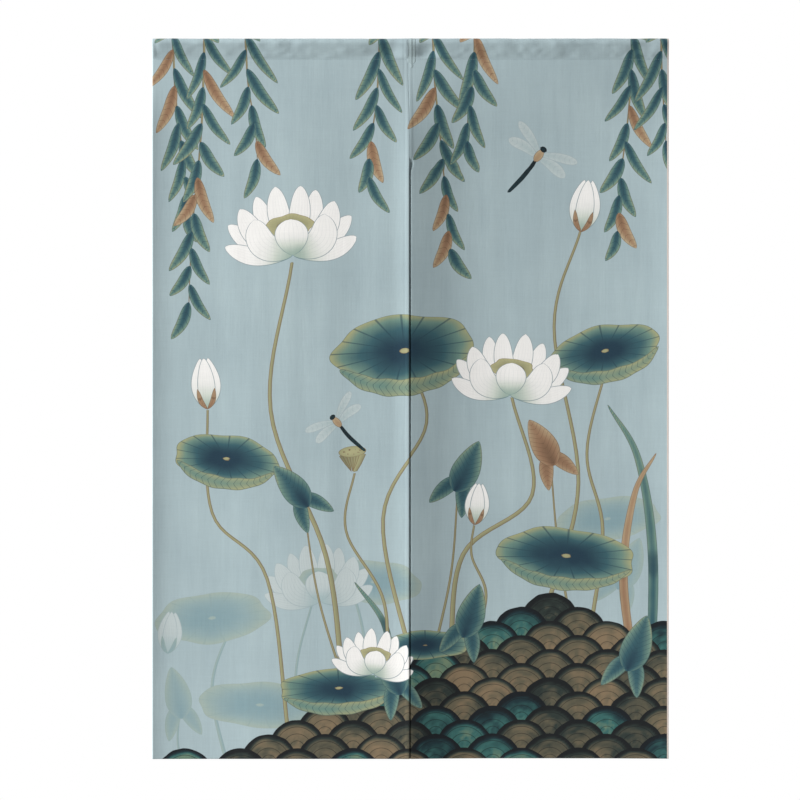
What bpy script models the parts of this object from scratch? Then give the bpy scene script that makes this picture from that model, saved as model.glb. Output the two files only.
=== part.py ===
"""A two-panel noren door curtain, hanging flat from an empty rod sleeve.

Each panel is one length of cloth whose top is turned back into a sleeve for the rod. A narrow strip
saddles the two sleeves where they meet. Below it the panels are joined edge to edge down to the
seam's end, and from there the curtain is slit down to the bottom hem.
The frame: metres, +Z up, -Y is the printed front, and the origin is the middle of the top edge.
"""

import math
from collections import namedtuple

import bmesh
import bpy

# Driving sizes of the curtain
WIDTH = 0.860
DROP = 1.200
CLOTH = 0.0012  # thickness of one layer
CLEARANCE = 0.0003  # between neighbouring pieces

# The rod sleeve: a round fold over the rod's place, tapering down to its stitch line
SLEEVE_RADIUS = 0.0080
STITCH_DEPTH = 0.034  # from the top edge down to the row of stitches
SLEEVE_LIP = 0.0020  # the sewn edge below the stitches
SLEEVE_SET_BACK = 0.0006  # the sleeve's middle plane lies this far behind the panel's
SLEEVE_STATIONS = 15
ROUND_STEPS = 10  # sides of the round fold, from front tangent to back tangent
PUCKER = 0.05  # share of the sleeve's fullness that comes and goes along the rod
PINCH = 0.06  # share by which its open ends draw in
PINCH_REACH = 0.016

# Hems, turned to the back
SIDE_HEM = 0.0070
BOTTOM_HEM = 0.0150
HEM_THICKNESS = 0.0022
HEM_STEP = 0.0010  # width of the slope from hem to single cloth

# The join strip
JOIN_CENTRE = 0.0017
JOIN_WIDTH = 0.0133
JOIN_CLOTH = 0.0008
JOIN_SQUARE_END = 0.038  # depth at which the strip starts to narrow
JOIN_TIP = 0.0445
JOIN_TIP_SHARE = 0.3  # of the strip's width left at its tip

# The panels meet edge to edge at the seam, which leans a little to the right on its way down. Below
# its end the slit opens: the right panel's hem is tucked back, and its edge passes behind the left's.
SEAM_TOP = -0.0040
SEAM_FOOT = -0.0024
SEAM_LEAN_START = 0.060
SEAM_LEAN_END = 0.130
SEAM_GAP = 0.0008
TUCK_START = 0.198
SEAM_END = 0.210
SLIT_OPEN = 0.222
LEFT_SLIT_EDGE = SEAM_FOOT
RIGHT_SLIT_EDGE = -0.0058
TUCK_DEPTH = 0.0028

# Soft upright folds. A fold stands back along +Y, away from the front, or forward where it is negative.
# It grows from nothing under the stitches to all of its depth at the place down the curtain named
# grown, and it leans across by drift from top to bottom.
Fold = namedtuple("Fold", "at spread depth drift grown")
LEFT_FOLDS = (
    Fold(at=-0.455, spread=0.030, depth=-0.0055, drift=0.0, grown=0.16),
    Fold(at=-0.335, spread=0.060, depth=0.0006, drift=0.020, grown=0.20),
    Fold(at=-0.215, spread=0.060, depth=-0.0006, drift=-0.015, grown=0.20),
    Fold(at=-0.095, spread=0.050, depth=0.0008, drift=0.006, grown=0.20),
    Fold(at=0.004, spread=0.021, depth=-0.0020, drift=0.0, grown=0.22),
)
RIGHT_FOLDS = (
    Fold(at=-0.030, spread=0.080, depth=-0.0125, drift=0.0, grown=0.22),
    Fold(at=0.200, spread=0.600, depth=0.0108, drift=0.0, grown=0.22),
    Fold(at=0.470, spread=0.110, depth=-0.0060, drift=0.012, grown=0.20),
    Fold(at=0.455, spread=0.030, depth=-0.0020, drift=0.0, grown=0.16),
)
PANEL_COLUMNS = 24
SEAM_ROWS = 6  # down the seam
PANEL_ROWS = 20  # from the slit's head to the bottom hem

PRINTED_BLUE = (0.38, 0.49, 0.51)
HALF = WIDTH / 2
PANEL_TOP = STITCH_DEPTH + SLEEVE_LIP + CLEARANCE


def smooth(value, low, high):
    """0 below low, 1 above high, and a smooth rise between them."""
    share = min(1.0, max(0.0, (value - low) / (high - low)))
    return share * share * (3 - 2 * share)


def fold_depth(folds, across, depth):
    """How far the cloth stands back from the curtain's plane, at a place across and a depth down it."""
    lean = depth / DROP - 0.5
    return sum(
        fold.depth
        * math.exp(-(((across - fold.at - fold.drift * lean) / fold.spread) ** 2))
        * smooth(depth, PANEL_TOP, fold.grown)
        for fold in folds
    )


def cloth_material():
    """The printed cloth's plain finish: matt, dusty blue."""
    material = bpy.data.materials.new("printed_cloth")
    material.use_nodes = True
    shader = material.node_tree.nodes["Principled BSDF"]
    shader.inputs["Base Color"].default_value = (*PRINTED_BLUE, 1.0)
    shader.inputs["Roughness"].default_value = 0.9
    shader.inputs["Metallic"].default_value = 0.0
    return material


def add_object(name, bm, material):
    """Makes an object of the bmesh, with its faces pointing out."""
    mesh = bpy.data.meshes.new(name)
    bm.to_mesh(mesh)
    bm.free()
    mesh.materials.append(material)
    obj = bpy.data.objects.new(name, mesh)
    bpy.context.scene.collection.objects.link(obj)
    mesh.shade_smooth()
    mesh.set_sharp_from_angle(angle=math.radians(40))
    return obj


def spaced(low, high, steps):
    """Even places from low to high, both included."""
    return [low + (high - low) * step / steps for step in range(steps + 1)]


def columns():
    """Places across a panel: both edges, a line on each side of each hem's inner edge, even steps."""
    first, last = SIDE_HEM + HEM_STEP, HALF - SIDE_HEM - HEM_STEP
    return [0.0, SIDE_HEM, *spaced(first, last, PANEL_COLUMNS), HALF - SIDE_HEM, HALF]


def rows():
    """Places down a panel: along the seam, its end, the slit's head, and on to the bottom hem."""
    last = DROP - BOTTOM_HEM - HEM_STEP
    along_seam = spaced(PANEL_TOP, TUCK_START, SEAM_ROWS)
    return [*along_seam, SEAM_END, *spaced(SLIT_OPEN, last, PANEL_ROWS), DROP - BOTTOM_HEM, DROP]


def panel(name, outer_x, slit_edge, tuck_depth, folds, material):
    """One hanging length: a grid bent to its folds, given its layers by Solidify, thicker at the hems.

    Its edge runs down the seam and crosses to slit_edge at the slit's head. The hem along the slit
    is set back by tuck_depth.
    """
    across, down = columns(), rows()
    bm = bmesh.new()
    bmesh.ops.create_grid(bm, x_segments=len(across) - 1, y_segments=len(down) - 1, size=1.0)
    bm.verts.index_update()
    hem_verts = []
    for index, vert in enumerate(sorted(bm.verts, key=lambda v: (round(v.co.y, 6), round(v.co.x, 6)))):
        from_slit = across[index % len(across)]
        depth = down[index // len(across)]
        seam = SEAM_TOP + (SEAM_FOOT - SEAM_TOP) * smooth(depth, SEAM_LEAN_START, SEAM_LEAN_END)
        seam_edge = seam + math.copysign(SEAM_GAP / 2, outer_x)
        edge = seam_edge + (slit_edge - seam_edge) * smooth(depth, SEAM_END, SLIT_OPEN)
        x = edge + (outer_x - edge) * from_slit / HALF
        in_tuck = from_slit <= SIDE_HEM + HEM_STEP / 2
        tuck = tuck_depth * smooth(depth, TUCK_START, SEAM_END) if in_tuck else 0.0
        vert.co = (x, fold_depth(folds, x, depth) + tuck - CLOTH / 2, -depth)
        in_side_hem = min(from_slit, HALF - from_slit) <= SIDE_HEM + HEM_STEP / 2
        in_bottom_hem = depth >= DROP - BOTTOM_HEM - HEM_STEP / 2
        if in_side_hem or in_bottom_hem:
            hem_verts.append(vert.index)
    if outer_x > 0:  # so that the faces look forward and Solidify adds the layers behind
        bmesh.ops.reverse_faces(bm, faces=bm.faces)
    obj = add_object(name, bm, material)
    layers = obj.vertex_groups.new(name="layers")
    layers.add(range(len(obj.data.vertices)), CLOTH / HEM_THICKNESS, "REPLACE")
    layers.add(hem_verts, 1.0, "REPLACE")
    solidify = obj.modifiers.new("layers of cloth", "SOLIDIFY")
    solidify.thickness = HEM_THICKNESS
    solidify.offset = -1.0
    solidify.vertex_group = layers.name
    return obj


def sleeve_outline(radius, bottom, fullness, inset):
    """The sleeve's section as (y, z) points, from its lower front edge over the top to its lower back edge.

    A round fold of the given radius about the sleeve's centre, joined to the lower edge by the
    straight lines that touch it. Fullness squeezes it from front to back; inset is how far the two
    lower points stand apart from the middle plane.
    """
    centre_z = -SLEEVE_RADIUS
    lean = math.asin(radius / (centre_z - bottom))
    outline = [(-inset, bottom)]
    for step in range(ROUND_STEPS + 1):
        turn = -lean + (math.pi + 2 * lean) * step / ROUND_STEPS
        y = -radius * math.cos(turn) * fullness
        outline.append((y, centre_z + radius * math.sin(turn)))
    outline.append((inset, bottom))
    return [(y + SLEEVE_SET_BACK, z) for y, z in outline]


def sleeve_fullness(x, left, right):
    """How full the sleeve stands at x: puckered along the rod and a little drawn in at its open ends."""
    from_end = min(x - left, right - x)
    pucker = math.sin(61.0 * x + 1.0) * 0.6 + math.sin(143.0 * x) * 0.4
    pinch = PINCH * (1 - smooth(from_end, 0.0, PINCH_REACH))
    return 1.0 - PUCKER * (0.5 + 0.5 * pucker) - pinch


def sleeve(name, left, right, material):
    """The rod sleeve of one panel: an open-ended tube of cloth with its sewn lip at the bottom."""
    bm = bmesh.new()
    outer_rings, inner_rings = [], []
    for station in range(SLEEVE_STATIONS + 1):
        share = station / SLEEVE_STATIONS
        x = left + (right - left) * share
        fullness = sleeve_fullness(x, left, right)
        outer = sleeve_outline(SLEEVE_RADIUS, -STITCH_DEPTH, fullness, CLOTH)
        lip = [(y, -STITCH_DEPTH - SLEEVE_LIP) for y in (outer[0][0], outer[-1][0])]
        outer = [lip[0], *outer, lip[1]]
        inner = sleeve_outline(SLEEVE_RADIUS - CLOTH, -STITCH_DEPTH + CLOTH, fullness, CLOTH / 4)
        outer_rings.append([bm.verts.new((x, y, z)) for y, z in outer])
        inner_rings.append([bm.verts.new((x, y, z)) for y, z in inner])
    for rings in (outer_rings, inner_rings):
        for ring, after in zip(rings, rings[1:]):
            count = len(ring)
            for i in range(count):
                bm.faces.new((ring[i], ring[(i + 1) % count], after[(i + 1) % count], after[i]))
    for end in (0, -1):
        outer, inner = outer_rings[end], inner_rings[end]
        for i in range(len(inner) - 1):
            bm.faces.new((outer[i + 1], outer[i + 2], inner[i + 1], inner[i]))
        bm.faces.new((outer[0], outer[1], inner[0]))
        bm.faces.new((outer[-1], inner[-1], outer[-2]))
        bm.faces.new((outer[-1], outer[0], inner[0], inner[-1]))
    bmesh.ops.recalc_face_normals(bm, faces=bm.faces)
    return add_object(name, bm, material)


def join_strip(material):
    """The strip that saddles both sleeves where they meet, narrowing to a tip at its ends."""
    bm = bmesh.new()
    layers = []
    for gap in (CLEARANCE, CLEARANCE + JOIN_CLOTH):
        saddle = sleeve_outline(SLEEVE_RADIUS + gap, -STITCH_DEPTH, 1.0, CLOTH + gap)
        front, back = saddle[0][0], saddle[-1][0]
        line = [(front, -JOIN_TIP), (front, -JOIN_SQUARE_END)]
        line += saddle[1:-1]
        line += [(back, -JOIN_SQUARE_END), (back, -JOIN_TIP)]
        rows = []
        for y, z in line:
            share = JOIN_TIP_SHARE if z < -JOIN_SQUARE_END - CLEARANCE else 1.0
            half = JOIN_WIDTH / 2 * share
            rows.append([bm.verts.new((JOIN_CENTRE + side * half, y, z)) for side in (-1, 1)])
        layers.append(rows)
    under, over = layers
    for rows in layers:
        for row, after in zip(rows, rows[1:]):
            bm.faces.new((row[0], row[1], after[1], after[0]))
    for side in (0, 1):
        for i in range(len(under) - 1):
            bm.faces.new((under[i][side], over[i][side], over[i + 1][side], under[i + 1][side]))
    for end in (0, -1):
        bm.faces.new((under[end][0], under[end][1], over[end][1], over[end][0]))
    bmesh.ops.recalc_face_normals(bm, faces=bm.faces)
    return add_object("join_strip", bm, material)


def main():
    for obj in list(bpy.data.objects):
        bpy.data.objects.remove(obj)
    material = cloth_material()
    sleeve("left_sleeve", -HALF, SEAM_TOP - CLEARANCE / 2, material)
    sleeve("right_sleeve", SEAM_TOP + CLEARANCE / 2, HALF, material)
    panel("left_panel", -HALF, LEFT_SLIT_EDGE, 0.0, LEFT_FOLDS, material)
    panel("right_panel", HALF, RIGHT_SLIT_EDGE, TUCK_DEPTH, RIGHT_FOLDS, material)
    join_strip(material)


main()
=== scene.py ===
"""The looks of a two-panel door curtain: printed cloth hanging from an empty rod sleeve.

Each panel is one continuous sheet, from its bottom hem up the front, over the rod's place and down
behind to the stitches. The print is a pond with white blossoms, laid on the cloth as painted
shapes: every face corner of the cloth carries, for up to four shapes, how wide the shape is there
and how far the corner lies from the shape's middle line, and the material draws crisp edges from
the two. The print shows faintly through the back, and a narrow line of cloth is left bare down the
right panel's outer edge. Lengths are metres, and millimetres inside the print. -Y is the printed
front.
"""

import math
from collections import namedtuple

import bpy
import numpy as np
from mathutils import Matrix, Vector


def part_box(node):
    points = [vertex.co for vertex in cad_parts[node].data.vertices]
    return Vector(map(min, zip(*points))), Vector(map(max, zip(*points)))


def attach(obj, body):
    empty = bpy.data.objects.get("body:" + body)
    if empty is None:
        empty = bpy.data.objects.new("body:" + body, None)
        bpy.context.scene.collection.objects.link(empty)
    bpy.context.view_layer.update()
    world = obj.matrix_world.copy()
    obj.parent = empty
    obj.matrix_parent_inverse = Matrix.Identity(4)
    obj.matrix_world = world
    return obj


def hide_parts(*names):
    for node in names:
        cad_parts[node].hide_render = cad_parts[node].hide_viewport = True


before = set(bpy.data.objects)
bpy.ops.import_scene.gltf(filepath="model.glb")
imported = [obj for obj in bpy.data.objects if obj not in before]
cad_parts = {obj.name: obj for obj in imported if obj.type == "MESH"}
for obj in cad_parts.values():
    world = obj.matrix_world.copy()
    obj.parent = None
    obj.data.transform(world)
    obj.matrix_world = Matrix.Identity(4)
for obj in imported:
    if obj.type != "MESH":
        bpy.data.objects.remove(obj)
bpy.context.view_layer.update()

# Sizes of the curtain: its drop from the imported model, the rest given
DROP = -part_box("left_panel")[0].z
HALF = 0.430
STITCH_DEPTH = 0.034
PANEL_LENGTH = DROP - STITCH_DEPTH
JOIN_CENTRE = 0.0017

# The panels meet edge to edge at the seam, which leans a little to the right on its way down. Below
# its end the slit opens: the right panel's hem is tucked back, and its edge passes behind the
# left's.
SEAM_TOP = -0.0036
SEAM_FOOT = -0.0021
SEAM_LEAN_START = 0.060
SEAM_LEAN_END = 0.130
SEAM_LAP = 0.0004
SEAM_END = 0.210
SLIT_OPEN = 0.222
TUCK_START = 0.198
TUCK_DEPTH = 0.0025
TUCK_WIDTH = 0.0053  # of the hem's tucked part, to the foot of its step
TUCK_STEP = 0.0016  # from that foot to the panel's own surface
SEAM_RAISE = 0.0007  # the seam holds the right panel's hem forward by this, level with the left's
SEAM_RAISE_REACH = 0.007

# Cloth
SINGLE = 0.0008  # thickness of one layer
SIDE_HEM_LAYERS = 0.0019
BOTTOM_HEM_LAYERS = 0.0021
SIDE_HEM = 0.0068
BOTTOM_HEM = 0.0150
HEM_SLOPE = 0.0009
FRONT_SET = -0.0006  # the printed surface of a flat panel lies here
LAYERS_IN_SLEEVE = 0.55  # share of a side hem's extra thickness that is left within the sleeve
LAYERS_EASE = 0.012  # and the height over which it thins
RIPPLE = 0.00035  # height of the hanging cloth's slight unevenness
PUCKER_PATCH = 0.00095  # height of the sleeve's soft patches
PUCKER_UPRIGHT = 0.00035  # and of its long upright puckers
HEM_RIDGE = 0.00007  # the cloth over a side hem stands forward by this
HEM_GROOVE = 0.00010  # and its inner line is drawn in by this
HEM_GROOVE_HALF = 0.0013

# Rod sleeve
SLEEVE_RADIUS = 0.0080
SLEEVE_SET_BACK = 0.0006
SLEEVE_LIP = 0.0020
SLEEVE_PINCH = 0.05
PINCH_REACH = 0.016
BELOW_STITCHES = 0.003  # the front layers that the back one lies on are taken this far down

# Soft upright folds, standing back along +Y where positive. Each grows from nothing under the
# stitches to its full depth at the place down the curtain named grown, and leans by drift.
Fold = namedtuple("Fold", "at spread depth drift grown")
Side = namedtuple("Side", "name sign slit_edge folds")
LEFT = Side(
    name="left",
    sign=-1,
    slit_edge=SEAM_FOOT,
    folds=(
        Fold(at=-0.455, spread=0.030, depth=-0.0055, drift=0.0, grown=0.16),
        Fold(at=-0.335, spread=0.060, depth=0.0006, drift=0.020, grown=0.20),
        Fold(at=-0.215, spread=0.060, depth=-0.0006, drift=-0.015, grown=0.20),
        Fold(at=-0.095, spread=0.050, depth=0.0008, drift=0.006, grown=0.20),
        Fold(at=0.004, spread=0.021, depth=-0.0026, drift=0.0, grown=0.22),
    ),
)
RIGHT = Side(
    name="right",
    sign=1,
    slit_edge=-0.0058,
    folds=(
        Fold(at=-0.030, spread=0.080, depth=-0.0133, drift=0.0, grown=0.22),
        Fold(at=0.200, spread=0.600, depth=0.0116, drift=0.0, grown=0.22),
        Fold(at=0.470, spread=0.110, depth=-0.0060, drift=0.012, grown=0.20),
        Fold(at=0.455, spread=0.030, depth=-0.0020, drift=0.0, grown=0.16),
    ),
)


def smooth(value, low, high):
    """0 below low, 1 above high, 3t^2 - 2t^3 between them."""
    share = np.clip((value - low) / (high - low), 0.0, 1.0)
    return share * share * (3 - 2 * share)


def bell(value, centre, spread):
    """exp(-((value - centre) / spread)^2)."""
    return np.exp(-(((value - centre) / spread) ** 2))


def mottle(u, v, seed, octaves=3):
    """Soft clouds between -1 and 1: seeded numbers on a lattice of unit cells, blended smoothly
    from cell to cell, with each finer octave at half the size and half the strength."""
    total = np.zeros(np.broadcast(u, v).shape)
    for octave in range(octaves):
        lattice = np.random.default_rng(seed + octave).uniform(-1, 1, (64, 64))
        a, b = np.broadcast_arrays(u * 2**octave, v * 2**octave)
        i, j = np.floor(a).astype(int), np.floor(b).astype(int)
        s, t = smooth(a - i, 0, 1), smooth(b - j, 0, 1)
        low = lattice[i % 64, j % 64] * (1 - s) + lattice[(i + 1) % 64, j % 64] * s
        high = lattice[i % 64, (j + 1) % 64] * (1 - s) + lattice[(i + 1) % 64, (j + 1) % 64] * s
        total += (low * (1 - t) + high * t) / 2**octave
    return total / (2 - 2.0 ** (1 - octaves))


# The hanging cloth


def sleeve_section(steps=160):
    """The sleeve's printed face in section, as (run, y, z) from the stitches: a straight slant out
    to a round fold, over it, straight down to the stitches behind, and on down the lip."""
    centre_z = -SLEEVE_RADIUS
    lean = math.asin(SLEEVE_RADIUS / (centre_z + STITCH_DEPTH))
    turn = np.linspace(-lean, math.pi + lean, steps)
    y = SLEEVE_SET_BACK - SLEEVE_RADIUS * np.cos(turn)
    z = centre_z + SLEEVE_RADIUS * np.sin(turn)
    back = FRONT_SET + 2 * SINGLE + 0.0001
    y = np.concatenate([[FRONT_SET], y, [back, back]])
    z = np.concatenate([[-STITCH_DEPTH], z, [-STITCH_DEPTH, -STITCH_DEPTH - SLEEVE_LIP]])
    run = np.concatenate([[0.0], np.cumsum(np.hypot(np.diff(y), np.diff(z)))])
    return run, y, z


SECTION = sleeve_section()
SLEEVE_RUN = SECTION[0][-1]
ROUND_START = SECTION[0][1]
ROUND_END = SECTION[0][-3]


def thickness(across, along):
    """One layer, or the layers of a hem within its width of an edge, with a short slope between."""
    from_edge = np.minimum(across, HALF - across)
    side = 1 - smooth(from_edge, SIDE_HEM - HEM_SLOPE, SIDE_HEM)
    bottom = 1 - smooth(along, BOTTOM_HEM - HEM_SLOPE, BOTTOM_HEM)
    in_sleeve = smooth(along, PANEL_LENGTH, PANEL_LENGTH + LAYERS_EASE)
    side = side * (1 - (1 - LAYERS_IN_SLEEVE) * in_sleeve)
    return SINGLE + np.maximum(
        side * (SIDE_HEM_LAYERS - SINGLE), bottom * (BOTTOM_HEM_LAYERS - SINGLE)
    )


def stands_back(side, x, depth):
    """How far the cloth stands behind the curtain's plane: the sum of its folds, each a bell
    across, grown down the curtain."""
    lean = depth / DROP - 0.5
    total = np.zeros(np.broadcast(x, depth).shape)
    for fold in side.folds:
        grown = smooth(depth, STITCH_DEPTH + SLEEVE_LIP, fold.grown)
        total += fold.depth * bell(x, fold.at + fold.drift * lean, fold.spread) * grown
    return total


def ripples(side, x, depth):
    """Slight upright unevenness of hanging cloth: long streaks of mottle, stronger lower down and
    none beside the seam."""
    grown = smooth(depth, STITCH_DEPTH, 0.30)
    streaks = mottle(x / 0.045 + 7, depth / 0.60 + 3, 20 + side.sign, 2)
    free = np.maximum(smooth(np.abs(x - SEAM_FOOT), 0.004, 0.030), smooth(depth, SLIT_OPEN, 0.30))
    return RIPPLE * streaks * grown * free


def crinkles(side, x, rise):
    """Puckers of the sleeve: soft patches of mottle and a few long upright ones, fading over the
    round fold and a short way down the panel."""
    patches = mottle(x / 0.022 + 31, rise / 0.014 + 9, 40 + side.sign, 3)
    uprights = mottle(x / 0.030 + 11, rise / 0.090 + 5, 50 + side.sign, 1)
    over_fold = smooth(rise, ROUND_START - 0.004, ROUND_START + 0.012)
    up = smooth(rise, 0.0, 0.005) * (1 - 0.5 * over_fold)
    behind = 1 - smooth(rise, ROUND_END, SLEEVE_RUN)
    flat_end = smooth(np.abs(x - JOIN_CENTRE), 0.004, 0.012)
    return (PUCKER_PATCH * patches + PUCKER_UPRIGHT * uprights) * up * behind * flat_end


# Creases that the photograph shows in the sleeves: hollows, or ridges where depth is positive, with
# one side steeper than the other. at and up are places along the sleeve and above its stitches.
Crease = namedtuple("Crease", "at left right up tall depth")
CREASES = {
    "left": (
        Crease(at=-0.4285, left=0.0020, right=0.0045, up=0.010, tall=0.010, depth=0.0008),
        Crease(at=-0.4180, left=0.0040, right=0.0045, up=0.022, tall=0.007, depth=0.0004),
        Crease(at=-0.0340, left=0.0320, right=0.0160, up=0.012, tall=0.013, depth=-0.0028),
    ),
    "right": (
        Crease(at=0.0210, left=0.0100, right=0.0150, up=0.008, tall=0.014, depth=-0.0016),
        Crease(at=0.0265, left=0.0210, right=0.0180, up=0.012, tall=0.014, depth=-0.0034),
        Crease(at=0.3960, left=0.0300, right=0.0110, up=0.021, tall=0.008, depth=-0.0010),
        Crease(at=0.4020, left=0.0040, right=0.0040, up=0.006, tall=0.004, depth=0.0006),
        Crease(at=0.4210, left=0.0050, right=0.0030, up=0.004, tall=0.004, depth=0.0006),
    ),
}


def creases(side, x, rise):
    """The creases' depths, each a bell up the sleeve times a bell across with its own two spreads,
    and none at the stitches, where the two layers are held together."""
    total = np.zeros(x.shape)
    for crease in CREASES[side.name]:
        spread = np.where(x < crease.at, crease.left, crease.right)
        total += crease.depth * bell(x, crease.at, spread) * bell(rise, crease.up, crease.tall)
    return total * smooth(rise, 0.0, 0.006)


def tucked(side, across, depth):
    """The share, 0 to 1, by which the edge of the right panel's slit hem is tucked back: whole from
    the edge to the foot of its step, and grown down the end of the seam."""
    if side.sign < 0:
        return np.zeros(np.broadcast(across, depth).shape)
    at_edge = 1 - smooth(across, TUCK_WIDTH, TUCK_WIDTH + TUCK_STEP)
    return at_edge * smooth(depth, TUCK_START, SEAM_END)


def raised(side, across, depth):
    """How far the seam holds the right panel forward: a bell across, grown down the seam."""
    if side.sign < 0:
        return np.zeros(np.broadcast(across, depth).shape)
    along_seam = smooth(depth, STITCH_DEPTH, SLIT_OPEN) * (1 - smooth(depth, TUCK_START, SEAM_END))
    return SEAM_RAISE * bell(across, 0.0, SEAM_RAISE_REACH) * along_seam


def hem_relief(across):
    """How the slit hems show in front: the cloth over a hem stands forward between its rounded edge
    and its inner line, which the sewing draws in as a fine groove."""
    within = 1 - smooth(across, SIDE_HEM - 0.0010, SIDE_HEM + 0.0010)
    plateau = smooth(across, 0.0, 0.0016) * within
    return HEM_RIDGE * plateau - HEM_GROOVE * bell(across, SIDE_HEM, HEM_GROOVE_HALF)


def hung(side, across, along):
    """Points of the printed face, and its outward direction in the section.

    across runs from the slit's edge to the outer edge, along from the bottom edge up the front,
    over the sleeve and down behind. Below the stitches y = folds + ripples + tuck - raise; above
    them the point runs along the sleeve's section, squeezed at its ends, and moves out by its
    crinkles and creases. The edges in front move out by the hem's relief.
    """
    across, along = np.broadcast_arrays(across, along)
    rise = along - PANEL_LENGTH
    depth = np.maximum(DROP - along, 0.0)
    run, section_y, section_z = SECTION
    up = np.clip(rise, 0.0, SLEEVE_RUN)
    y, z = np.interp(up, run, section_y), np.interp(up, run, section_z)
    step = 0.0004
    low, high = np.clip(up - step, 0, SLEEVE_RUN), np.clip(up + step, 0, SLEEVE_RUN)
    slope_y = np.interp(high, run, section_y) - np.interp(low, run, section_y)
    slope_z = np.interp(high, run, section_z) - np.interp(low, run, section_z)
    on_panel = rise <= 0
    slope_y = np.where(on_panel, 0.0, slope_y)
    slope_z = np.where(on_panel, 1.0, slope_z)
    length = np.hypot(slope_y, slope_z)
    out_y, out_z = -slope_z / length, slope_y / length

    hang = np.where(on_panel, depth, STITCH_DEPTH)
    seam = SEAM_TOP + (SEAM_FOOT - SEAM_TOP) * smooth(hang, SEAM_LEAN_START, SEAM_LEAN_END)
    seam_edge = seam - side.sign * SEAM_LAP
    edge = seam_edge + (side.slit_edge - seam_edge) * smooth(hang, SEAM_END, SLIT_OPEN)
    x = edge + (side.sign * HALF - edge) * across / HALF
    tuck = tucked(side, across, hang)

    squeeze = SLEEVE_PINCH * (1 - smooth(np.minimum(across, HALF - across), 0.0, PINCH_REACH))
    y = SLEEVE_SET_BACK + (y - SLEEVE_SET_BACK) * (1 - squeeze * smooth(up, 0.0, ROUND_START))
    behind = smooth(up, ROUND_END, SLEEVE_RUN - SLEEVE_LIP)
    in_front = thickness(across, PANEL_LENGTH - BELOW_STITCHES)
    layers = thickness(across, along) + in_front - 2 * SINGLE
    y = y + behind * layers
    panel_y = FRONT_SET + stands_back(side, x, hang) + ripples(side, x, hang)
    panel_y = panel_y + TUCK_DEPTH * tuck - raised(side, across, hang)
    y = np.where(on_panel, panel_y, y)
    z = np.where(on_panel, -hang, z)

    out = crinkles(side, x, rise) + creases(side, x, rise) + hem_relief(across) * (1 - tuck)
    y, z = y + out * out_y, z + out * out_z
    points = np.stack([x, y, z], axis=-1)
    outward = np.stack([np.zeros_like(x), out_y, out_z], axis=-1)
    return points, outward


def print_place(side, across, along):
    """Where a place on the cloth lies in the print, in millimetres: x across, z up from the top."""
    return side.sign * 1000 * across, 1000 * (along - DROP)


# The print. A shape is stored as its half-width, the distance from its middle line, a phase
# whose every half number is a drawn line, and an ink code: the ink's number plus a shade.

SLOTS = 4
EMPTY = (-9.0, 0.0, 0.0, 0.0)
PETAL, LEAF, RUST, STEM, WAVE, DEEP, GHOST_PETAL, GHOST_LEAF = range(8)
GHOST_OF = {PETAL: GHOST_PETAL, LEAF: GHOST_LEAF, RUST: GHOST_LEAF, STEM: GHOST_LEAF}


class Page:
    """The print on one panel: the millimetre places of its face corners and their shapes."""

    def __init__(self, x, z):
        self.x, self.z = x, z
        self.slots = np.tile(np.array(EMPTY), (len(x), 4, SLOTS, 1))
        self.used = np.zeros(len(x), dtype=int)
        self.ghostly = False

    def near(self, x, z, reach_x, reach_z):
        """The faces within reach of a place."""
        inside = (np.abs(self.x[:, 0] - x) < reach_x) & (np.abs(self.z[:, 0] - z) < reach_z)
        return np.flatnonzero(inside)

    def lay(self, faces, half, off, phase, shade, ink):
        """Lays one opaque shape on the faces that it touches: over what is there, alone where it
        covers the whole face, and in place of the lowest shape where a face is full."""
        inset = half - np.abs(off)
        crossed = (off.min(axis=1) < 0) & (off.max(axis=1) > 0) & (half.min(axis=1) > 0)
        touched = (inset.max(axis=1) > -1.0) | crossed
        faces = faces[touched]
        if not len(faces):
            return
        ink = GHOST_OF.get(ink, ink) if self.ghostly else ink
        values = np.stack([half, off, phase, ink + np.clip(shade, 0.06, 0.94)], axis=-1)[touched]
        covered = inset[touched].min(axis=1) > 1.0
        self.used[faces[covered]] = 0
        self.slots[faces[covered]] = EMPTY
        full = faces[self.used[faces] == SLOTS]
        self.slots[full, :, :-1] = self.slots[full, :, 1:]
        self.used[full] -= 1
        self.slots[faces, :, self.used[faces]] = values
        self.used[faces] += 1


def curve(points, steps=10):
    """A smooth line through the points: a cubic between each two, with its neighbours' slopes."""
    p = np.array(points, dtype=float)
    p = np.vstack([2 * p[0] - p[1], p, 2 * p[-1] - p[-2]])
    t = np.linspace(0, 1, steps, endpoint=False)[:, None]
    pieces = []
    for a, b, c, d in zip(p, p[1:], p[2:], p[3:]):
        square, cube = 2 * a - 5 * b + 4 * c - d, 3 * b - a - 3 * c + d
        pieces.append(0.5 * (2 * b + (c - a) * t + square * t**2 + cube * t**3))
    return np.vstack([*pieces, p[-2:-1]])


def beside(x, z, line):
    """For every place, how far along the line its nearest point lies, how far it stands off the
    line (positive on the left), and the line's length. Beyond an end the first and last pieces go
    on."""
    start, step = line[:-1], np.diff(line, axis=0)
    length = np.hypot(step[:, 0], step[:, 1])
    before = np.concatenate([[0.0], np.cumsum(length)])
    best, along, off = np.full(x.shape, np.inf), np.zeros(x.shape), np.zeros(x.shape)
    last = len(start) - 1
    for i in range(len(start)):
        dx, dz = x - start[i, 0], z - start[i, 1]
        ux, uz = step[i] / length[i]
        run = dx * ux + dz * uz
        clipped = np.clip(run, 0.0 if i else -np.inf, length[i] if i < last else np.inf)
        far = np.hypot(dx - clipped * ux, dz - clipped * uz)
        nearer = far < best
        best = np.where(nearer, far, best)
        along = np.where(nearer, before[i] + clipped, along)
        off = np.where(nearer, np.copysign(far, ux * dz - uz * dx), off)
    return along, off, before[-1]


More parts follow.
